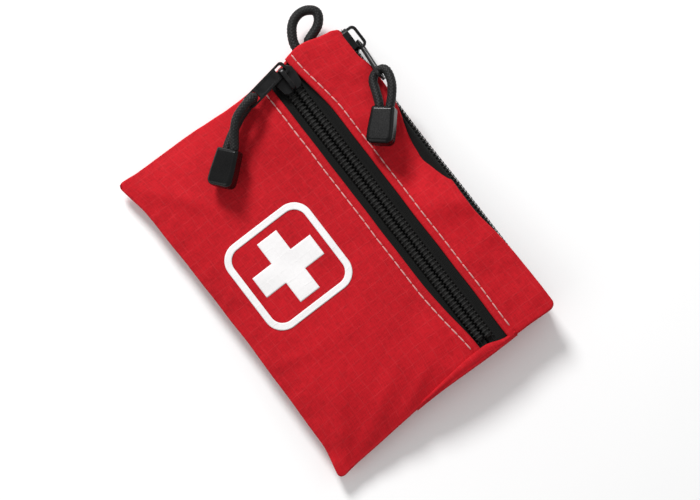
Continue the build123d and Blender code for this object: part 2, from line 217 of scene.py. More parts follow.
def lower_fold(x):
    """Edge of the lower panel's hem along the front zip."""
    return LOWER_FOLD_Y + 2.9 * smooth((x - 34.0) / 36.0) + 0.25 * rough_noise(x / 16.0, 0.0, 7.0)


def upper_fold(x):
    """Edge of the upper panel's hem along the front zip."""
    return UPPER_FOLD_Y - 3.0 * smooth((-42.0 - x) / 30.0) + 0.3 * rough_noise(x / 18.0, 0.0, 11.0)


def edge_front(y):
    """Height of the front's outline along a side."""
    rise = clamp((y - BOTTOM_Y) / 72.0)
    low = BOTTOM_SEAM_Z + CLOTH
    return low + (CORNER_FRONT_Z - low) * rise * rise * (3.0 - 2.0 * rise)


def edge_back(y):
    """Height of the back's outline along a side."""
    rise = (y - BOTTOM_Y) / (TOP_Y - BOTTOM_Y)
    low = BOTTOM_SEAM_Z - BACK_CLOTH
    return low + (TOP_BACK_Z - low) * rise


def front_z(x, y):
    """The front's smooth shape, before any fold or pucker."""
    if y < CROWN_Y:
        part = clamp((CROWN_Y - y) / (CROWN_Y - BOTTOM_Y)) ** 3.2
        middle = CROWN_Z - (CROWN_Z - BOTTOM_SEAM_Z - CLOTH) * part
    else:
        part = ((y - CROWN_Y) / (TOP_Y - CROWN_Y)) ** 2
        middle = CROWN_Z - (CROWN_Z - TOP_FRONT_Z) * part
    share = clamp(abs(x) / half_width(x, y))
    pillow = PILLOW * (1.0 - smooth((y + 12.0) / 22.0))
    fall = (1.0 - pillow) * share ** 8 + pillow * share ** 3.2
    return edge_front(y) + (middle - edge_front(y)) * (1.0 - fall)


def back_z(x, y):
    span = BOTTOM_Y if y < 0 else TOP_Y
    rim = BOTTOM_SEAM_Z - BACK_CLOTH if y < 0 else TOP_BACK_Z
    middle = -0.3 + (rim + 0.3) * abs(y / span) ** 12
    share = clamp(abs(x) / half_width(x, y))
    return edge_back(y) + (middle - edge_back(y)) * (1.0 - share ** 8)


FOLDS = (
    # soft folds of the lower panel: from x, y to x, y, half width, height
    (-68.0, -49.0, -34.0, -24.0, 3.6, 0.75),
    (-70.0, -40.0, -46.0, -36.0, 2.6, 0.50),
    (66.0, -48.0, 36.0, -30.0, 4.2, 0.85),
    (69.0, -36.0, 48.0, -6.0, 3.2, 0.60),
    (70.0, -20.0, 56.0, 6.0, 2.6, 0.55),
    (22.0, -49.0, 30.0, -26.0, 3.0, 0.50),
    (-8.0, -50.0, -14.0, -42.0, 2.8, 0.45),
    (-62.0, 12.0, -38.0, -4.0, 3.4, 0.40),
    (10.0, 8.0, 44.0, 2.0, 4.5, 0.35),
)


def soft_fold(x, y, x0, y0, x1, y1, wide, high):
    """A long low ridge of cloth that fades at both ends."""
    run_x, run_y = x1 - x0, y1 - y0
    along = ((x - x0) * run_x + (y - y0) * run_y) / (run_x ** 2 + run_y ** 2)
    nearest = clamp(along)
    away = ((x - x0 - nearest * run_x) ** 2 + (y - y0 - nearest * run_y) ** 2) / wide ** 2
    return high * exp(-away) * (1.0 - smooth(abs(along - 0.35) / 0.75))


def front_wrinkles(x, y):
    """How far the cloth of the front stands off its smooth shape."""
    inside = 1.0 - smooth((abs(x) - 62.0) / 10.0)
    broad = 0.42 * rough_noise(x / 27.0, y / 21.0, 1.0) + 0.20 * rough_noise(x / 11.0, y / 9.0, 2.0)
    near_bottom = exp(-(y - BOTTOM_Y) / 9.0)
    gathers = 0.42 * near_bottom * rough_noise(x / 5.5, y / 19.0, 5.0)
    near_side = smooth((abs(x) - 50.0) / 20.0)
    pulls = 0.34 * near_side * rough_noise(x / 17.0, y / 5.0, 6.0)
    diagonal = (x + y * 0.9) / 6.0
    corner = exp(-((abs(x) - 72.0) ** 2 + (y - BOTTOM_Y) ** 2) / 420.0)
    creases = 0.5 * corner * rough_noise(diagonal, (x - y) / 30.0, 8.0)
    folds = sum(soft_fold(x, y, *fold) for fold in FOLDS)
    surface = 1.9 * broad * (0.45 + 0.55 * inside)
    return surface + 1.7 * gathers + 1.7 * pulls + 1.4 * creases + 1.3 * folds


def panel_wrinkles(x, y):
    """The narrow upper panel waves more, and has a hollow where its top edge dips."""
    above = y - UPPER_FOLD_Y
    hollow = -3.2 * bump(x, -9.0, 12.0) * smooth(above / 11.0)
    ridge = 1.3 * bump(x, 13.0 + 0.5 * (y - 44.0), 6.0) * smooth(above / 12.0)
    slope = -1.0 * bump(x, 44.0, 14.0) * smooth((above - 4.0) / 10.0)
    waves = 0.75 * rough_noise(x / 15.0, y / 12.0, 21.0) + 0.35 * rough_noise(x / 6.0, y / 7.0, 22.0)
    return hollow + slope + ridge + waves * smooth((above + 1.0) / 5.0)


def stitch_dent(x, gap):
    """A row of stitches pulls the cloth down, most where each stitch enters it."""
    pull = 0.5 + 0.5 * cos(2 * pi * x / STITCH_PITCH)
    dent = (0.34 + 0.18 * pull) * bump(gap, 0.0, 0.8)
    return -dent + 0.14 * bump(gap, -1.8, 1.1) + 0.55 * bump(gap, 1.7, 1.0)


def lower_skin(x, y):
    """Height of the lower panel's cloth."""
    gap = y - (lower_fold(x) - STITCH_BACK)
    below = smooth((lower_fold(x) - y) / 7.0)
    drag = 0.16 * rough_noise(x / 2.9, y / 9.0, 9.0) * exp(-abs(gap + 1.0) / 5.0)
    return front_z(x, y) + front_wrinkles(x, y) * below + stitch_dent(x, gap) + drag * below


def upper_skin(x, y):
    """Height of the upper panel's cloth."""
    gap = (upper_fold(x) + STITCH_BACK) - y
    drag = 0.14 * rough_noise(x / 2.9, y / 9.0, 19.0) * exp(-abs(gap + 1.0) / 5.0)
    above = smooth((y - upper_fold(x)) / 5.0)
    return front_z(x, y) + panel_wrinkles(x, y) * above + stitch_dent(x, gap) + drag * above


def back_skin(x, y):
    """Height of the back's cloth, which stays just above the floor."""
    waves = 0.5 * rough_noise(x / 30.0, y / 24.0, 31.0) + 0.25 * rough_noise(x / 10.0, y / 12.0, 32.0)
    return back_z(x, y) + 0.56 + abs(waves)


# ---- mesh helpers
def link(obj):
    bpy.context.scene.collection.objects.link(obj)
    return obj


def new_object(name, verts, faces, attribute=None, smooth_shade=True):
    """A mesh object from points in millimetres."""
    mesh = bpy.data.meshes.new(name)
    mesh.from_pydata([(x * MM, y * MM, z * MM) for x, y, z in verts], [], faces)
    if attribute is not None:
        layer = mesh.attributes.new("cloth_mm", "FLOAT_VECTOR", "POINT")
        layer.data.foreach_set("vector", [c for point in attribute for c in point])
    if smooth_shade:
        mesh.shade_smooth()
    mesh.update()
    return link(bpy.data.objects.new(name, mesh))


def modify(obj, name, kind, **settings):
    """Adds a modifier with its settings."""
    modifier = obj.modifiers.new(name, kind)
    for key, value in settings.items():
        setattr(modifier, key, value)


def grid_faces(columns, rows, base=0, close=False):
    """Quads of a grid stored column by column; close joins the last row to the first."""
    faces = []
    last = rows if close else rows - 1
    for i in range(columns - 1):
        for j in range(last):
            k = (j + 1) % rows
            faces.append((base + i * rows + j, base + (i + 1) * rows + j,
                          base + (i + 1) * rows + k, base + i * rows + k))
    return faces


def cloth(name, columns, thick=SKIN, round_outline=True):
    """A sheet of cloth from columns of points; each point carries its place in the weave."""
    if round_outline:
        columns = [[(*corners_rounded(x, y), z) for x, y, z in column] for column in columns]
    rows = len(columns[0])
    verts = [point for column in columns for point in column]
    marks = []
    across = 0.0
    for i, column in enumerate(columns):
        if i:
            middle = rows // 2
            across += (Vector(column[middle]) - Vector(columns[i - 1][middle])).length
        along = 0.0
        for j, point in enumerate(column):
            if j:
                along += (Vector(point) - Vector(column[j - 1])).length
            marks.append((across, along, 0.0))
    obj = new_object(name, verts, grid_faces(len(columns), rows), marks)
    modify(obj, "thickness", "SOLIDIFY", thickness=thick * MM, offset=0.0, use_even_offset=False)
    return obj


def arc(turn, steps):
    """Even steps of a turn, without its start."""
    return [turn * (i + 1) / steps for i in range(steps)]


def edge_roll(side_share):
    """Sideways and downward shift of a cloth that rolls over at its left and right edges."""
    angle = side_share * EDGE_TURN
    return ROLL * sin(angle), ROLL * (1.0 - cos(angle))


def wide_columns(count, roll_steps):
    """Pairs of (share of the half width, share of the rolled edge), from left to right."""
    rolled = arc(1.0, roll_steps)
    flat = [(share, 0.0) for share in spread(-1.0, 1.0, count)]
    return [(-1.0, r) for r in reversed(rolled)] + flat + [(1.0, r) for r in rolled]


def round_corner(x, y, corner_x, corner_y):
    """Moves a point near an outline's corner so that the corner becomes an arc."""
    way_x = 1.0 if corner_x > 0 else -1.0
    way_y = 1.0 if corner_y > 0 else -1.0
    over_x = way_x * (x - corner_x) / CORNER_RADIUS + 1.0
    over_y = way_y * (y - corner_y) / CORNER_RADIUS + 1.0
    if over_x <= 0.0 or over_y <= 0.0:
        return x, y
    a, b = min(over_x, 1.15), min(over_y, 1.15)
    new_x = corner_x + way_x * CORNER_RADIUS * (a * (1.0 - b * b / 2.0) ** 0.5 - 1.0)
    new_y = corner_y + way_y * CORNER_RADIUS * (b * (1.0 - a * a / 2.0) ** 0.5 - 1.0)
    return new_x, new_y


def corners_rounded(x, y):
    """Where a point of the cloth goes when the pouch's four corners are rounded."""
    side = -1.0 if x < 0 else 1.0
    for edge_y in (bottom_edge(side * LOW_HALF), top_edge(side * TOP_HALF)):
        x, y = round_corner(x, y, side * half_width(side, edge_y), edge_y)
    return x, y


def flat_half(share, y):
    """Half width of the part of a panel that isn't rolled over."""
    return half_width(share, y) - ROLL - ROLL_GAP


def panel_point(share, rolled, y, height, up=1.0):
    """A point of a panel: inside its outline, or on the roll that closes its side."""
    side = -1.0 if share < 0 else 1.0
    x = share * flat_half(side, y)
    out, down = edge_roll(rolled)
    return (x + side * out, y, height(x, y) - up * down)


def edge_points(share, rolled, y, skin, turns, out, up=1.0):
    """A panel's edge turned over at y; out is the way along Y in which it faces."""
    x, _, z = panel_point(share, rolled, y, skin, up)
    return [(x, y + out * ROLL * sin(a), z - up * ROLL * (1.0 - cos(a))) for a in turns]


def hem_points(x, fold_y, toward, height, drop):
    """The fold of a hem and the layer under it; toward is the side of the zip."""
    turn_y = fold_y - toward * HEM_RADIUS
    start = height(x, turn_y)
    points = []
    for angle in arc(pi, 7):
        y = turn_y + toward * HEM_RADIUS * sin(angle)
        points.append((x, y, start - HEM_RADIUS * (1.0 - cos(angle)) - drop))
    layers = 5
    for i in range(1, layers + 1):
        y = fold_y - toward * (HEM_RADIUS + HEM_DEPTH * i / layers)
        points.append((x, y, min(start, height(x, y)) - 2 * HEM_RADIUS - 0.02 - drop))
    return points


def hem(share, column, y, fold_y, toward, skin, half):
    """The hem of a panel, set under the last point of one of its columns."""
    x, _, z = column[-1]
    drop = skin(share * flat_half(share, y), y) - z
    return hem_points(x, fold_y, toward, lambda a, b: skin(half, b), drop)


def front_lower_cloth():
    """The large front panel, from the bottom seam to its hem along the zip."""
    columns = []
    for share, rolled in wide_columns(210, 6):
        probe = share * LOW_HALF
        low = bottom_edge(probe) + ROLL
        high = lower_fold(probe) - HEM_RADIUS
        column = []
        for angle in reversed(arc(EDGE_TURN, 6)):
            y = low - ROLL * sin(angle)
            x, y, z = panel_point(share, rolled, y, lambda a, b: lower_skin(a, low))
            column.append((x, y, z - ROLL * (1.0 - cos(angle))))
        column += [panel_point(share, rolled, y, lower_skin) for y in spread(low, high, 110)]
        column += hem(share, column, high, lower_fold(probe), 1.0, lower_skin, probe)
        columns.append(column)
    return cloth("front_lower_cloth", columns)


def front_upper_cloth():
    """The narrow front panel, from the top edge to its hem along the zip."""
    columns = []
    for share, rolled in wide_columns(210, 6):
        probe = share * TOP_HALF
        low = upper_fold(probe) + HEM_RADIUS
        high = top_edge(probe) - ROLL
        column = [panel_point(share, rolled, y, upper_skin) for y in spread(high, low, 34)]
        column += hem(share, column, low, upper_fold(probe), -1.0, upper_skin, probe)
        top = edge_points(share, rolled, high, upper_skin, arc(pi / 2, 5), 1.0)
        tail = top[-1]
        for i in range(1, 4):
            top.append((tail[0], tail[1] - 0.12 * i, tail[2] - 0.5 * i))
        columns.append(list(reversed(top)) + column)
    return cloth("front_upper_cloth", columns)


def back_cloth():
    """The back panel, turned up along its four edges."""
    columns = []
    for share, rolled in wide_columns(180, 6):
        low = bottom_edge(share * LOW_HALF) + ROLL
        high = TOP_Y - 0.5 - ROLL
        bottom = edge_points(share, rolled, low, back_skin, reversed(arc(EDGE_TURN, 5)), -1.0, -1.0)
        flat = [panel_point(share, rolled, y, back_skin, -1.0) for y in spread(low, high, 130)]
        top = edge_points(share, rolled, high, back_skin, arc(pi / 2, 5), 1.0, -1.0)
        columns.append(bottom + flat + top)
    return cloth("back_cloth", columns)


def side_path():
    """Places along a side: (y, how far it has turned inwards over the end of the top zip)."""
    start, corner, turn = BOTTOM_Y + 3.8, SIDE_TOP_Y, SIDE_TURN
    path = [(y, 0.0) for y in spread(start, corner, 140)]
    path += [(corner + turn * sin(a), turn * (1.0 - cos(a))) for a in arc(pi / 2, 5)]
    path += [(corner + turn + 0.02 * i, turn + 0.45 * i) for i in range(1, 6)]
    return path


def side_cloth(name, side):
    """The narrow fold that closes one side, bowed out a little and creased along its middle."""
    columns = []
    for y, inset in side_path():
        low = edge_back(y) + 0.55
        high = edge_front(y) - 0.7
        tall = high - low
        straight = 1.0 - smooth(inset / SIDE_TURN)
        crease_at = 0.52 + 0.08 * rough_noise(y / 20.0, 0.0, 41.0)
        outer = half_width(side, min(y, SIDE_TOP_Y)) - 0.75 - inset
        column = []
        for share in spread(0.0, 1.0, 17):
            bow = 0.55 * sin(pi * share) ** 0.6
            crease = -min(1.3, 0.11 * tall) * bump(share, crease_at, 0.22)
            ripple = 0.35 * rough_noise(y / 7.0, share * 1.4, 42.0 + side) * sin(pi * share)
            tuck = -0.9 * (1.0 - sin(pi * share)) ** 6
            x = outer + (bow + crease + ripple + tuck) * straight
            column.append((side * x, y, low + tall * share))
        columns.append(column)
    return cloth(name, columns, round_outline=False)


def right_edge_fold():
    """A pinch of the side's cloth that laps over the front and the end of the zip."""
    columns = []
    start, end = -14.0, 36.0
    zip_end = 68.0
    for y in spread(start, end, 76):
        width = 0.9 + 3.1 * smooth((y - start) / 34.0) - 2.6 * smooth((y - 22.0) / 10.0)
        outer = right_edge(y) - 0.35
        inner = outer - width
        over_zip = smooth((y - lower_fold(zip_end) + 1.5) / 2.5)
        over_zip = over_zip * (1.0 - smooth((y - upper_fold(zip_end)) / 3.0))
        fade = (1.0 - smooth((y - 31.0) / 5.0)) * smooth((y - start) / 8.0)
        column = []
        for share in spread(0.0, 1.0, 13):
            x = inner + (outer - inner) * share
            puff = 0.55 * sin(pi * min(1.0, 0.12 + share)) ** 0.7
            flat = front_z(min(x, right_edge(y) - 1.2), y) + 0.35 + puff
            dip = over_zip * 0.35 * (1.0 - share) ** 1.3
            ripple = 0.16 * rough_noise(y / 4.0, share, 51.0)
            column.append((x, y, flat - 0.95 * (1.0 - fade) - dip + ripple))
        turn = column[-1]
        for angle in arc(radians(100), 5):
            column.append((turn[0] + 0.6 * sin(angle), y, turn[2] - 1.3 * (1.0 - cos(angle))))
        tip = column[0]
        inner_edge = [(tip[0] + over, y, tip[2] - down)
                      for over, down in ((0.9, 1.0), (0.15, 0.75), (-0.05, 0.35))]
        columns.append(inner_edge + column)
    return cloth("right_edge_fold", columns, thick=0.4)


def ring(point, one, two, wide, high, sides):
    """Points of an ellipse round a point, in the plane of two directions."""
    turns = [2 * pi * j / sides for j in range(sides)]
    return [tuple(point + one * (cos(a) * wide) + two * (sin(a) * high)) for a in turns]


def tube_mesh(path, radius, sides, squash=(1.0, 1.0)):
    """Verts and faces of a closed tube along a path; radius is a number or one per point."""
    points = [Vector(p) for p in path]
    radii = radius if isinstance(radius, list) else [radius] * len(points)
    frames = path_frames(points)
    verts = []
    for point, (one, two), r in zip(points, frames, radii):
        verts += ring(point, one, two, r * squash[0], r * squash[1], sides)
    faces = grid_faces(len(points), sides, close=True)
    faces.append(tuple(range(sides)))
    faces.append(tuple(range(len(verts) - 1, len(verts) - 1 - sides, -1)))
    return verts, faces


def path_frames(points):
    """Two directions across a path at each point, carried along it without twist."""
    frames = []
    normal = None
    for i in range(len(points)):
        ahead = points[min(i + 1, len(points) - 1)] - points[max(i - 1, 0)]
        tangent = ahead.normalized()
        if normal is None:
            normal = Vector((0, 0, 1)) if abs(tangent.z) < 0.9 else Vector((0, 1, 0))
        normal = (normal - tangent * normal.dot(tangent)).normalized()
        frames.append((normal, tangent.cross(normal)))
    return frames


def joined(parts):
    """Several (verts, faces) pairs as one."""
    verts, faces = [], []
    for some_verts, some_faces in parts:
        base = len(verts)
        verts += some_verts
        faces += [tuple(base + i for i in face) for face in some_faces]
    return verts, faces


# ---- materials
MATERIALS = {}


class Nodes:
    """Builds a material's node tree; lengths are in millimetres."""

    def __init__(self, name):
        self.slot = name
        self.material = bpy.data.materials.new(name)
        self.material.use_nodes = True
        self.tree = self.material.node_tree
        self.shader = self.tree.nodes["Principled BSDF"]

    def put(self, socket, value):
        if isinstance(value, bpy.types.NodeSocket):
            self.tree.links.new(value, socket)
        else:
            socket.default_value = value

    def add(self, kind, inputs, **settings):
        """A new node's outputs, once its settings and its inputs are set."""
        node = self.tree.nodes.new("ShaderNode" + kind)
        for key, value in settings.items():
            setattr(node, key, value)
        for key, value in inputs.items():
            self.put(node.inputs[key], value)
        return node.outputs

    def calc(self, operation, *values):
        return self.add("Math", dict(enumerate(values)), operation=operation)[0]

    def plus(self, one, two):
        return self.calc("ADD", one, two)

    def times(self, one, two):
        return self.calc("MULTIPLY", one, two)

    def place(self):
        """Object coordinates, in millimetres."""
        metres = self.add("TexCoord", {})["Object"]
        return self.add("VectorMath", {0: metres, "Scale": 1.0 / MM}, operation="SCALE")[0]

    def woven_place(self):
        return self.add("Attribute", {}, attribute_name="cloth_mm")["Vector"]

    def parts(self, vector):
        outputs = self.add("SeparateXYZ", {0: vector})
        return outputs[0], outputs[1], outputs[2]

    def cloud(self, vector, scale, detail=2.0, rough=0.5):
        inputs = {"Vector": vector, "Scale": scale, "Detail": detail, "Roughness": rough}
        return self.add("TexNoise", inputs)["Fac"]

    def streaks(self, vector, scale):
        """Noise drawn out along one direction of the weave."""
        drawn = self.add("Mapping", {"Vector": vector, "Scale": scale})[0]
        return self.cloud(drawn, 1.0, 4.0, 0.6)

    def remap(self, value, low, high, to_low, to_high):
        return self.add("MapRange", dict(enumerate((value, low, high, to_low, to_high))))[0]

    def mix(self, factor, *colors):
        one, two = [c if isinstance(c, bpy.types.NodeSocket) else (*c, 1.0) for c in colors]
        return self.add("Mix", {0: factor, 6: one, 7: two}, data_type="RGBA")[2]

    def tones(self, patches, one, two):
        """One colour running into the other by patches."""
        return self.mix(self.remap(patches, 0.3, 0.7, 0.0, 1.0), one, two)

    def relief(self, height, strength, distance):
        inputs = {"Strength": strength, "Distance": distance * MM, "Height": height}
        self.put(self.shader.inputs["Normal"], self.add("Bump", inputs)[0])

    def finish(self, color, roughness, **numbers):
        self.put(self.shader.inputs["Base Color"], color)
        self.put(self.shader.inputs["Roughness"], roughness)
        for key, value in numbers.items():
            self.shader.inputs[key.replace("_", " ")].default_value = value
        MATERIALS[self.slot] = self.material


RED = (0.525, 0.0072, 0.0148)
DEEP_RED = (0.40, 0.0047, 0.0105)


def threads(n, u, v, pitch):
    """Height of a plain weave, from 0 to 1."""
    turn = 2 * pi / pitch
    one = n.calc("SINE", n.times(u, turn))
    two = n.calc("SINE", n.times(v, turn))
    return n.calc("MULTIPLY_ADD", n.times(one, two), 0.5, 0.5)


def grid_line(n, value, pitch, width):
    """1 on a line every pitch, and 0 between."""
    wave = n.calc("PINGPONG", n.plus(value, 1000.0 * pitch), pitch / 2)
    return n.remap(wave, width, width * 0.35, 0.0, 1.0)


def ripstop_material(name, printed=None):
    """Plain woven cloth with a grid of thicker threads, and a print on it if one is given."""
    n = Nodes(name)
    woven = n.woven_place()
    u, v, _ = n.parts(woven)
    wander = n.cloud(woven, 0.35, 3.0)
    u_bent = n.plus(u, n.times(wander, 1.1))
    v_bent = n.plus(v, n.times(wander, 1.1))
    fine = threads(n, u, v, THREAD)
    lines = n.calc("MAXIMUM", *[grid_line(n, bent, RIPSTOP, 0.30) for bent in (u_bent, v_bent)])
    worn = n.times(lines, n.remap(n.cloud(woven, 0.28, 2.0), 0.35, 0.7, 0.25, 1.0))
    slubs = n.plus(n.streaks(woven, (0.30, 2.4, 1.0)), n.streaks(woven, (2.4, 0.30, 1.0)))
    slubs = n.times(slubs, 0.5)
    broad = n.cloud(n.place(), 0.035, 3.0)
    shade = n.tones(broad, DEEP_RED, RED)
    streaked = n.mix(n.remap(slubs, 0.38, 0.62, 0.0, 0.5), shade, tuple(c * 1.3 for c in RED))
    streaked = n.mix(n.remap(slubs, 0.34, 0.52, 0.34, 0.0), streaked, tuple(c * 0.55 for c in DEEP_RED))
    lined = n.mix(n.times(worn, 0.13), streaked, (0.78, 0.08, 0.09))
    # Painted shade: the cloth is darkened towards a deep red where the weave sinks between its threads.
    color = n.mix(n.remap(fine, 0.0, 1.0, 0.16, 0.0), lined, tuple(c * 0.45 for c in DEEP_RED))
    if printed is not None:
        color = n.mix(n.remap(fine, 0.0, 0.5, 0.10, 0.0), printed, (0.62, 0.32, 0.33))
    height = n.plus(n.times(fine, 0.35), n.times(worn, 0.22))
    height = n.plus(height, n.times(slubs, 0.45))
    n.relief(height, 0.75, 0.30)
    rough = n.remap(slubs, 0.2, 0.8, 0.62, 0.78)
    n.finish(color, rough, Sheen_Weight=0.02, Sheen_Roughness=0.4, Specular_IOR_Level=0.14)


def tape_material():
    n = Nodes("zip_tape")
    x, y, _ = n.parts(n.woven_place())
    zigzag = n.times(n.calc("PINGPONG", x, 0.7), 0.6)
    ribs = n.calc("SINE", n.times(n.plus(y, zigzag), 9.0))
    grain = n.cloud(n.woven_place(), 1.6, 3.0)
    # Painted shade and highlight: the tape is darker in the grooves between its ribs and lighter on
    # their tops.
    color = n.mix(n.remap(ribs, -1.0, 1.0, 0.0, 0.6), (0.0055, 0.0056, 0.0054), (0.013, 0.0132, 0.0128))
    color = n.mix(n.remap(grain, 0.3, 0.8, 0.0, 0.5), color, (0.019, 0.0192, 0.0186))
    n.relief(n.plus(ribs, grain), 0.5, 0.12)
    n.finish(color, n.remap(grain, 0.2, 0.8, 0.72, 0.86), Specular_IOR_Level=0.12)


def coil_material():
    n = Nodes("zip_coil")
    place = n.place()
    grain = n.cloud(place, 0.8, 3.0)
    color = n.tones(grain, (0.010, 0.0098, 0.0094), (0.020, 0.0196, 0.0188))
    n.relief(n.cloud(place, 4.0, 2.0), 0.25, 0.04)
    n.finish(color, n.remap(grain, 0.2, 0.8, 0.52, 0.68), Specular_IOR_Level=0.2)


def enamel_material():
    n = Nodes("slider_black")
    place = n.place()
    patch = n.cloud(place, 0.35, 4.0)
    specks = n.cloud(place, 3.4, 2.0)
    color = n.mix(n.remap(patch, 0.35, 0.75, 0.0, 1.0), (0.003, 0.003, 0.0035), (0.008, 0.008, 0.0085))
    worn = n.remap(specks, 0.70, 0.78, 0.0, 0.5)
    color = n.mix(worn, color, (0.045, 0.045, 0.045))
    n.relief(n.plus(patch, n.times(specks, 0.4)), 0.20, 0.06)
    n.finish(color, n.remap(patch, 0.2, 0.8, 0.22, 0.42), Metallic=0.35, Specular_IOR_Level=0.45)


def cord_end_material():
    n = Nodes("cord_end_black")
    place = n.place()
    patch = n.cloud(place, 0.22, 4.0)
    fine = n.cloud(place, 2.4, 3.0)
    color = n.tones(patch, (0.0014, 0.0014, 0.0015), (0.0035, 0.0035, 0.0036))
    n.relief(patch, 0.12, 0.10)
    n.finish(color, n.remap(fine, 0.3, 0.8, 0.20, 0.32), Specular_IOR_Level=0.24)


def braid_material():
    n = Nodes("cord_braid")
    place = n.place()
    patch = n.cloud(place, 0.5, 3.0)
    fibres = n.cloud(place, 5.0, 4.0, 0.7)
    color = n.tones(patch, (0.0035, 0.0035, 0.0035), (0.009, 0.009, 0.009))
    color = n.mix(n.remap(fibres, 0.5, 0.9, 0.0, 0.5), color, (0.026, 0.026, 0.0255))
    n.relief(fibres, 0.5, 0.08)
    rough = n.remap(fibres, 0.2, 0.8, 0.42, 0.62)
    n.finish(color, rough, Sheen_Weight=0.03, Specular_IOR_Level=0.24)


def thread_material():
    n = Nodes("stitch_thread")
    place = n.place()
    x, y, _ = n.parts(place)
    twist = n.calc("SINE", n.times(n.plus(x, n.times(y, 1.4)), 14.0))
    patch = n.cloud(place, 0.9, 2.0)
    color = n.tones(patch, (0.74, 0.30, 0.29), (0.80, 0.45, 0.43))
    # Painted shade: the thread is darkened in the grooves of its twist.
    color = n.mix(n.remap(twist, -1.0, 0.2, 0.45, 0.0), color, (0.52, 0.17, 0.17))
    n.relief(twist, 0.6, 0.10)
    n.finish(color, n.remap(patch, 0.2, 0.8, 0.55, 0.7), Sheen_Weight=0.2)


def speckled_material(name, one, two, scale, roughness, bump_size, metallic=0.0):
    """A plain stuff whose tone, gloss and surface vary finely."""
    n = Nodes(name)
    place = n.place()
    patch = n.cloud(place, scale, 4.0)
    fine = n.cloud(place, scale * 7.0, 3.0)
    color = n.tones(patch, one, two)
    n.relief(n.plus(patch, fine), 0.4, bump_size)
    rough = n.remap(fine, 0.2, 0.8, roughness * 0.85, min(1.0, roughness * 1.15))
    n.finish(color, rough, Metallic=metallic)


# name, two tones, scale of the patches, roughness, relief, metallic
SPECKLED = (
    ("lining", (0.028, 0.028, 0.030), (0.045, 0.045, 0.047), 0.8, 0.8, 0.1),
    ("packet_film", (0.62, 0.62, 0.64), (0.80, 0.80, 0.82), 0.25, 0.22, 0.35, 0.9),
    ("white_cotton", (0.78, 0.77, 0.74), (0.86, 0.85, 0.82), 1.3, 0.85, 0.25),
    ("medical_tape", (0.78, 0.74, 0.68), (0.84, 0.80, 0.74), 0.7, 0.55, 0.08),
    ("card", (0.48, 0.36, 0.24), (0.58, 0.45, 0.30), 0.9, 0.8, 0.1),
    ("glove_nitrile", (0.08, 0.19, 0.48), (0.12, 0.26, 0.60), 0.4, 0.45, 0.2),
    ("tweezer_steel", (0.50, 0.51, 0.52), (0.60, 0.61, 0.62), 2.2, 0.3, 0.03, 1.0),
    ("sachet_paper", (0.76, 0.78, 0.80), (0.84, 0.86, 0.88), 0.7, 0.7, 0.12),
    ("plaster_film", (0.66, 0.45, 0.32), (0.76, 0.55, 0.40), 0.9, 0.6, 0.1),
)
ripstop_material("red_ripstop")
ripstop_material("white_print", printed=(0.88, 0.87, 0.87))
tape_material()
coil_material()
enamel_material()
cord_end_material()
braid_material()
thread_material()
for row in SPECKLED:
    speckled_material(*row)


def dress(obj, slot, body, *nodes):
    """Gives a piece its material and its body, and hides the CAD nodes that it stands for."""
    obj.data.materials.clear()
    obj.data.materials.append(MATERIALS[slot])
    if body is not None:
        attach(obj, body)
    if nodes:
        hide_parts(*nodes)
    return obj


# ---- camera
CAMERA_PLACE = (40.8, -54.4, 732.9)
CAMERA_FORWARD = (-0.051, 0.080, -0.995)
CAMERA_UP = (-0.792, 0.604, 0.089)
CAMERA_LENS = 92.6


def set_camera():
    forward = Vector(CAMERA_FORWARD).normalized()
    right = forward.cross(Vector(CAMERA_UP)).normalized()
    up = right.cross(forward)
    data = bpy.data.cameras.new("camera")
    data.lens = CAMERA_LENS
    data.sensor_width = 36.0
    data.clip_start = 0.01
    camera = link(bpy.data.objects.new("camera", data))
    turn = Matrix((right, up, -forward)).transposed().to_4x4()
    camera.matrix_world = Matrix.Translation(Vector(CAMERA_PLACE) * MM) @ turn
    bpy.context.scene.camera = camera


# ---- cords
def cord_points(route):
    """The route's smooth line: a NURBS spline with the route as its control points."""
    curve = bpy.data.curves.new("line", "CURVE")
    curve.dimensions = "3D"
    spline = curve.splines.new("NURBS")
    spline.points.add(len(route) - 1)
    for point, place in zip(spline.points, route):
        point.co = (*place, 1.0)
    spline.order_u = 3
    spline.use_endpoint_u = True
    spline.resolution_u = 16
    holder = bpy.data.objects.new("line", curve)
    mesh = bpy.data.meshes.new_from_object(holder)
    points = [vertex.co.copy() for vertex in mesh.vertices]
    bpy.data.meshes.remove(mesh)
    bpy.data.objects.remove(holder)
    bpy.data.curves.remove(curve)
    return points


def even_points(points, step):
    """Points a fixed distance apart along a line."""
    placed = [points[0]]
    left = step
    for one, two in zip(points, points[1:]):
        length = (two - one).length
        while left <= length:
            placed.append(one.lerp(two, left / length))
            left += step
        left -= length
    placed.append(points[-1])
    return placed


def braid(path, width):
    """A braided sheath over a core: two sets of flat strands that pass over and under."""
    line = even_points([Vector(p) / MM for p in path], BRAID_STEP)
    frames = path_frames(line)
    middle = width / 2 - 0.34
    parts = [tube_mesh([tuple(p) for p in line], middle - 0.05, sides=14)]
    for way in (1, -1):
        for k in range(BRAID_STRANDS):
            points = []
            for i, (point, (one, two)) in enumerate(zip(line, frames)):
                turn = way * 2 * pi * i * BRAID_STEP / BRAID_LAY
                angle = turn + 2 * pi * k / BRAID_STRANDS
                lift = middle + 0.20 * way * cos(BRAID_STRANDS * turn)
                points.append(point + one * (cos(angle) * lift) + two * (sin(angle) * lift))
            parts.append(strand_mesh(points, line))
    return joined(parts)


def strand_mesh(points, line):
    """A flat strand that keeps its face turned away from the cord's middle."""
    sides = 8
    verts = []
    for i, point in enumerate(points):
        tangent = (points[min(i + 1, len(points) - 1)] - points[max(i - 1, 0)]).normalized()
        outward = point - line[i]
        outward = (outward - tangent * outward.dot(tangent)).normalized()
        across = tangent.cross(outward)
        verts += ring(point, across, outward, STRAND_HALF_WIDE, STRAND_HALF_THICK, sides)
    return verts, grid_faces(len(points), sides, close=True)


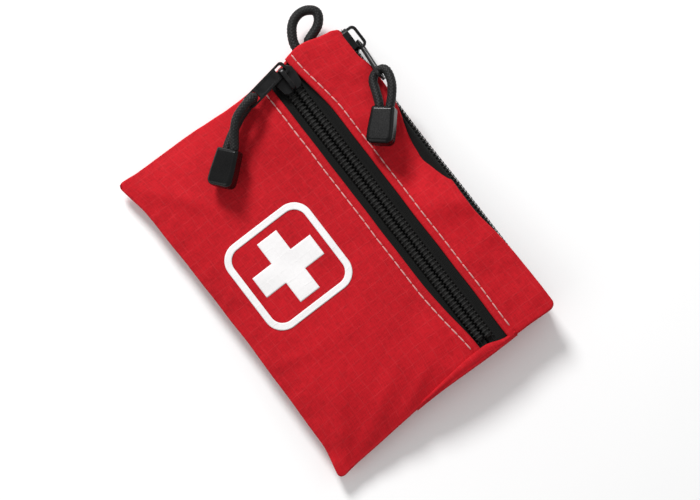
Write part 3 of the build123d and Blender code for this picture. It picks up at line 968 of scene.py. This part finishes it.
def make_cord(name, route, width, body, length, nodes,
              leaves=None):
    path = cord_points(route)
    obj = new_object(name, *braid(path, width / MM))
    dress(obj, "cord_braid", body, *nodes)
    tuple(leaves or route[0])
    return obj


def node(name):
    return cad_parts[name]


def make_cords():
    pulls = (("front", FRONT_ROUTE, FRONT_CORD_LENGTH), ("top", TOP_ROUTE, TOP_CORD_LENGTH))
    for name, route, length in pulls:
        make_cord(f"{name}_braided_cord", route, CORD, f"{name}_pull", length,
                  [f"{name}_pull_cord"])
    loop = make_cord("hang_loop_cord", HANG_ROUTE, LOOP_CORD, None, LOOP_CORD_LENGTH,
                     ["hang_loop", "hang_loop_tails"], leaves=HANG_EXIT)
    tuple(HANG_BEND[0])
    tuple(HANG_BEND[1])
    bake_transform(loop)


# ---- stitches
def stitch_mesh(points):
    """One stitch: a short thread that thins towards its ends."""
    radius = 0.29
    radii = []
    for i in range(len(points)):
        share = clamp(0.12 + 0.76 * i / (len(points) - 1))
        radii.append(radius * (0.35 + 0.65 * sin(pi * share) ** 0.5))
    return tube_mesh(points, radii, sides=8, squash=(0.75, 1.0))


def topstitch(name, height, line_y, x_low, x_high, node_name):
    """A row of stitches along a hem."""
    parts = []
    count = int((x_high - x_low) / STITCH_PITCH)
    for i in range(count):
        start = x_low + STITCH_PITCH * i
        tilt = 0.16 * rough_noise(i * 0.7, 0.0, 61.0)
        points = []
        for share in spread(0.0, 1.0, 9):
            x = start + STITCH_LONG * share
            y = line_y(x) + tilt * (share - 0.5)
            lift = 0.34 * sin(pi * share) ** 0.45 - 0.10
            points.append((x, y, height(x, y) + SKIN / 2 + lift))
        parts.append(stitch_mesh(points))
    return dress(new_object(name, *joined(parts)), "stitch_thread", "pouch", node_name)


# ---- emblem
def rounded_square(half, corner, steps_side, steps_corner):
    """Points round a square with round corners, anticlockwise."""
    points = []
    for quarter in range(4):
        turn = quarter * pi / 2
        for i in range(steps_side):
            along = -(half - corner) + 2 * (half - corner) * i / steps_side
            points.append((half, along, turn))
        for i in range(steps_corner):
            angle = pi / 2 * i / steps_corner
            middle = half - corner
            points.append((middle + corner * cos(angle), middle + corner * sin(angle), turn))
    return [(x * cos(t) - y * sin(t), x * sin(t) + y * cos(t)) for x, y, t in points]


def print_point(x, y):
    """A point of the print, laid on the cloth."""
    x, y = EMBLEM_X + x, EMBLEM_Y + y
    return (x, y, lower_skin(x, y) + SKIN / 2 + PRINT)


def emblem_outline():
    """The square outline with round corners, as a band of quads."""
    across = 7
    verts = []
    for i in range(across):
        inset = EMBLEM_LINE * i / (across - 1)
        ring = rounded_square(EMBLEM_SIZE / 2 - inset, EMBLEM_CORNER - inset * 0.9, 40, 16)
        verts += [print_point(x, y) for x, y in ring]
    return verts, grid_faces(across, len(verts) // across, close=True)


def emblem_cross():
    """The cross, cut out of a square grid that follows the cloth."""
    arm = CROSS_ARM / 2
    span = CROSS_SPAN / 2
    step = 0.6
    wide = int(CROSS_ARM / step)
    reach = int((span - arm) / step)
    marks = [-span + (span - arm) * i / reach for i in range(reach)]
    marks += [-arm + 2 * arm * i / wide for i in range(wide)]
    marks += [arm + (span - arm) * i / reach for i in range(reach + 1)]
    size = len(marks)
    grid = [print_point(x, y) for x in marks for y in marks]
    inside = range(reach, reach + wide)
    faces = []
    for i in range(size - 1):
        for j in range(size - 1):
            if i in inside or j in inside:
                k = i * size + j
                faces.append((k, k + size, k + size + 1, k + 1))
    used = sorted({k for face in faces for k in face})
    renumber = {old: new for new, old in enumerate(used)}
    return [grid[k] for k in used], [tuple(renumber[k] for k in face) for face in faces]


def emblem():
    """A plain cross in a square outline, printed on the lower panel."""
    verts, faces = joined([emblem_outline(), emblem_cross()])
    obj = new_object("emblem", verts, faces, [(x, y, 0.0) for x, y, _ in verts])
    modify(obj, "film", "SOLIDIFY", thickness=PRINT_FILM * MM, offset=-1.0)
    return dress(obj, "white_print", "pouch", "emblem_print")


# ---- zips
def front_place(x, across, up):
    """A point of the front zip: across it towards the top edge, and up from its tape."""
    sag = 0.28 * rough_noise(x / 24.0, 0.0, 71.0)
    wander = 0.25 * rough_noise(x / 30.0, 0.0, 72.0)
    return (x, FRONT_ZIP_Y + across + wander, FRONT_ZIP_Z + up + sag)


def top_place(x, across, up):
    """A point of the top zip, which faces +Y: across it towards the front."""
    return (x, TOP_ZIP_Y + up - 0.3 * bump(x, -13.0, 17.0), TOP_ZIP_Z + across)


def squared(value, power):
    """A sine or cosine drawn out towards its two ends."""
    return abs(value) ** power * (1 if value > 0 else -1)


def coil(name, place, side, node_name):
    """One row of coil: flat turns round a filler cord, their heads meeting along the middle."""
    turns = int((CHAIN_STOP + CHAIN_END) / COIL_PITCH) - 1
    start = -CHAIN_END + (0.0 if side < 0 else COIL_PITCH / 2) + COIL_LEAD
    middle = (COIL_OUTER + COIL_HEAD) / 2
    points = []
    per_turn = 14
    for i in range(turns * per_turn + 1):
        turn = i / per_turn
        share = turn % 1.0
        angle = 2 * pi * share
        across = middle + (COIL_OUTER - COIL_HEAD) / 2 * squared(cos(angle), 0.45)
        up = COIL_UP + COIL_HALF_HIGH * squared(sin(angle), 0.6)
        x = start + COIL_PITCH * (floor(turn) + smooth((share - 0.45) / 0.55))
        points.append(place(x, side * across, up))
    first = -CHAIN_END + 0.8
    last = start + COIL_PITCH * turns - 0.4
    path = [place(x, side * middle, 0.9) for x in spread(first, last, 161)]
    flatness = (0.48, 1.0) if place is front_place else (1.0, 0.72)
    wire = tube_mesh(points, COIL_WIRE, sides=8)
    core = tube_mesh(path, COIL_CORE, sides=12, squash=flatness)
    return dress(new_object(name, *joined([wire, core])), "zip_coil", "pouch", node_name)


def chain_threads(name, place):
    """The sewing that holds both coils down on the tapes."""
    parts = []
    steps = int((CHAIN_STOP + CHAIN_END) / SEWING_STEP)
    for line in (-SEWING_ACROSS, SEWING_ACROSS):
        points = []
        for i in range(steps):
            x = -CHAIN_END + 0.4 + SEWING_STEP * i
            across = line + 0.1 * sin(i * 1.1)
            points.append(place(x, across, SEWING_UP + 0.10 * cos(2 * pi * x / COIL_PITCH)))
        parts.append(tube_mesh(points, 0.15, sides=6))
    return dress(new_object(name, *joined(parts)), "zip_tape", "pouch")


def front_tape(name, side, node_name):
    """The tape from the coil to under its hem, with raised cords beside the coil."""
    columns = []
    fold_line = lower_fold if side < 0 else upper_fold
    skin = lower_skin if side < 0 else upper_skin
    for x in spread(-FRONT_TAPE_END, FRONT_TAPE_END, 220):
        fold = fold_line(x)
        edge = skin(x, fold + side * 0.8) - 1.35
        column = []
        for across in spread(TAPE_INNER, TAPE_INNER + FRONT_TAPE_WIDE, 26):
            _, y, flat = front_place(x, side * across, 0.0)
            z = flat + (edge - flat) * smooth((across - 4.6) / 3.4)
            ridge = 0.22 * bump(across, 4.15, 0.32) + 0.10 * bump(across, 5.6, 0.2)
            wave = 0.22 * rough_noise(x / 9.0, across / 5.0, 81.0 + side)
            wave = wave * smooth((across - 3.5) / 2.0)
            under_hem = side * (y - fold) > -0.5
            highest = skin(x, y) - 1.1 if under_hem else z + 1.0
            column.append((x, y, min(z + ridge + wave, highest)))
        columns.append(column if side > 0 else column[::-1])
    tape = cloth(name, columns, thick=TAPE, round_outline=False)
    return dress(tape, "zip_tape", "pouch", node_name)


def top_tape(name, side, node_name):
    """The tape from the coil to the edge of the top opening, where it turns in."""
    columns = []
    turn = 0.7
    for x in spread(-TOP_TAPE_END, TOP_TAPE_END, 200):
        column = []
        for across in spread(TAPE_INNER, TAPE_INNER + TOP_TAPE_WIDE, 14):
            _, y, z = top_place(x, side * across, 0.0)
            ridge = 0.2 * bump(across, 4.1, 0.3)
            wave = 0.18 * rough_noise(x / 9.0, across / 4.0, 91.0 + side)
            column.append((x, y + ridge + wave - 0.2, z))
        _, y, z = column[-1]
        for angle in arc(pi / 2, 5):
            column.append((x, y - turn * (1.0 - cos(angle)), z + side * turn * sin(angle)))
        _, y, z = column[-1]
        for j in range(1, 7):
            column.append((x, y - 0.62 * j, z - side * 0.42 * j))
        columns.append(column if side < 0 else column[::-1])
    tape = cloth(name, columns, thick=TAPE, round_outline=False)
    return dress(tape, "zip_tape", "pouch", node_name)


def make_zips():
    zips = (
        ("front", front_place, front_tape, (("lower", -1), ("upper", 1))),
        ("top", top_place, top_tape, (("front", 1), ("back", -1))),
    )
    for where, place, tape, rows in zips:
        for row, side in rows:
            coil(f"{where}_coil_{row}", place, side, f"{where}_zip_coil_{row}")
        chain_threads(f"{where}_chain_threads", place)
        for row, side in rows:
            tape(f"{where}_tape_{row}", side, f"{where}_zip_tape_{row}")


# ---- pouch pieces
def make_pouch():
    panels = (
        (front_lower_cloth, "front_lower_panel", (0.149, 0.084)),
        (front_upper_cloth, "front_upper_panel", (0.146, 0.032)),
        (back_cloth, "back_panel", (0.149, 0.113)),
    )
    for make, panel, flat in panels:
        dress(make(), "red_ripstop", "pouch", panel)
    for name, side in (("left", -1), ("right", 1)):
        fold = side_cloth(f"{name}_side_cloth", side)
        dress(fold, "red_ripstop", "pouch", f"{name}_side_fold")
    pinch = dress(right_edge_fold(), "red_ripstop", "pouch")
    topstitch("lower_stitches", lower_skin, lambda x: lower_fold(x) - STITCH_BACK,
              -67.3, 67.8, "lower_topstitch")
    topstitch("upper_stitches", upper_skin, lambda x: upper_fold(x) + STITCH_BACK,
              -73.2, 70.5, "upper_topstitch")
    emblem()


# ---- parts that keep their CAD shape
def keep_cad(name, slot, bevel=0.0):
    """Gives a CAD node its material, and rounds its edges by a bevel in millimetres."""
    obj = node(name)
    obj.data.materials.clear()
    obj.data.materials.append(MATERIALS[slot])
    if bevel:
        modify(obj, "weld", "WELD", merge_threshold=0.002 * MM)
        modify(obj, "edges", "BEVEL", width=bevel * MM, segments=3, limit_method="ANGLE",
               angle_limit=radians(32))
    return obj


def crumple(name, slot, strength):
    """A soft packet: remeshed finely and pushed about so that it looks filled by hand."""
    obj = keep_cad(name, slot)
    modify(obj, "fine", "REMESH", mode="VOXEL", voxel_size=0.7 * MM, use_smooth_shade=True)
    clouds = bpy.data.textures.new(f"{name}_creases", "CLOUDS")
    clouds.noise_scale = 6.0 * MM
    modify(obj, "creases", "DISPLACE", texture=clouds, texture_coords="GLOBAL",
           strength=strength * MM, mid_level=0.6)


HARDWARE = (
    ("slider_body", "slider_black", 0.18),
    ("slider_bridge", "slider_black", 0.35),
    ("pull_tab", "slider_black", 0.22),
    ("cord_end_face", "cord_end_black", 0.15),
    ("cord_end_back", "cord_end_black", 0.15),
    ("cord_knot", "cord_braid", 0.1),
)
SOFT_CONTENTS = (
    ("foil_blanket", "packet_film", 0.9),
    ("triangular_bandage", "white_cotton", 0.7),
    ("roller_bandage", "white_cotton", 0.5),
    ("gloves_pack", "glove_nitrile", 0.8),
)
FIRM_CONTENTS = (
    ("gauze_pads", "white_cotton", 0.2),
    ("antiseptic_wipes", "sachet_paper", 0.15),
    ("adhesive_plasters", "plaster_film", 0.1),
    ("tape_roll", "medical_tape", 0.3),
    ("tape_roll_core", "card", 0.1),
    ("tweezers", "tweezer_steel", 0.2),
)


def make_hardware():
    for where in ("front", "top"):
        for part, slot, bevel in HARDWARE:
            keep_cad(f"{where}_{part}", slot, bevel)


def make_contents():
    keep_cad("pocket_divider", "lining")
    for name, slot, strength in SOFT_CONTENTS:
        crumple(name, slot, strength)
    for name, slot, bevel in FIRM_CONTENTS:
        keep_cad(name, slot, bevel)


# ---- floor and light
def make_stage():
    half = 3000.0
    corners = [(-half, -half, 0), (half, -half, 0), (half, half, 0), (-half, half, 0)]
    floor_obj = new_object("floor", corners, [(0, 1, 2, 3)], smooth_shade=False)
    n = Nodes("floor")
    grain = n.cloud(n.place(), 0.01, 3.0)
    color = n.mix(grain, (0.95, 0.95, 0.95), (0.97, 0.97, 0.97))
    n.finish(color, 0.85)
    floor_obj.data.materials.append(MATERIALS["floor"])


def area_light(name, place, size, power):
    """A round lamp, in metres and watts, that points at the origin."""
    data = bpy.data.lights.new(name, "AREA")
    data.shape = "DISK"
    data.size = size
    data.energy = power
    light = link(bpy.data.objects.new(name, data))
    light.location = place
    aim = -Vector(place)
    light.rotation_euler = aim.to_track_quat("-Z", "Y").to_euler()


def make_lights():
    world = bpy.data.worlds.new("studio")
    world.use_nodes = True
    background = world.node_tree.nodes["Background"]
    background.inputs[0].default_value = (1.0, 1.0, 1.0, 1.0)
    background.inputs[1].default_value = 0.46
    bpy.context.scene.world = world
    area_light("key", (-0.95, 0.20, 0.74), 0.36, 14.4)
    area_light("fill", (-0.12, -0.95, 0.62), 0.9, 2.2)
    area_light("rim", (0.10, 0.90, 0.60), 0.6, 0.5)


set_camera()
make_cords()
make_pouch()
make_zips()
make_hardware()
make_contents()
make_stage()
make_lights()
bpy.context.scene.view_settings.view_transform = "Standard"
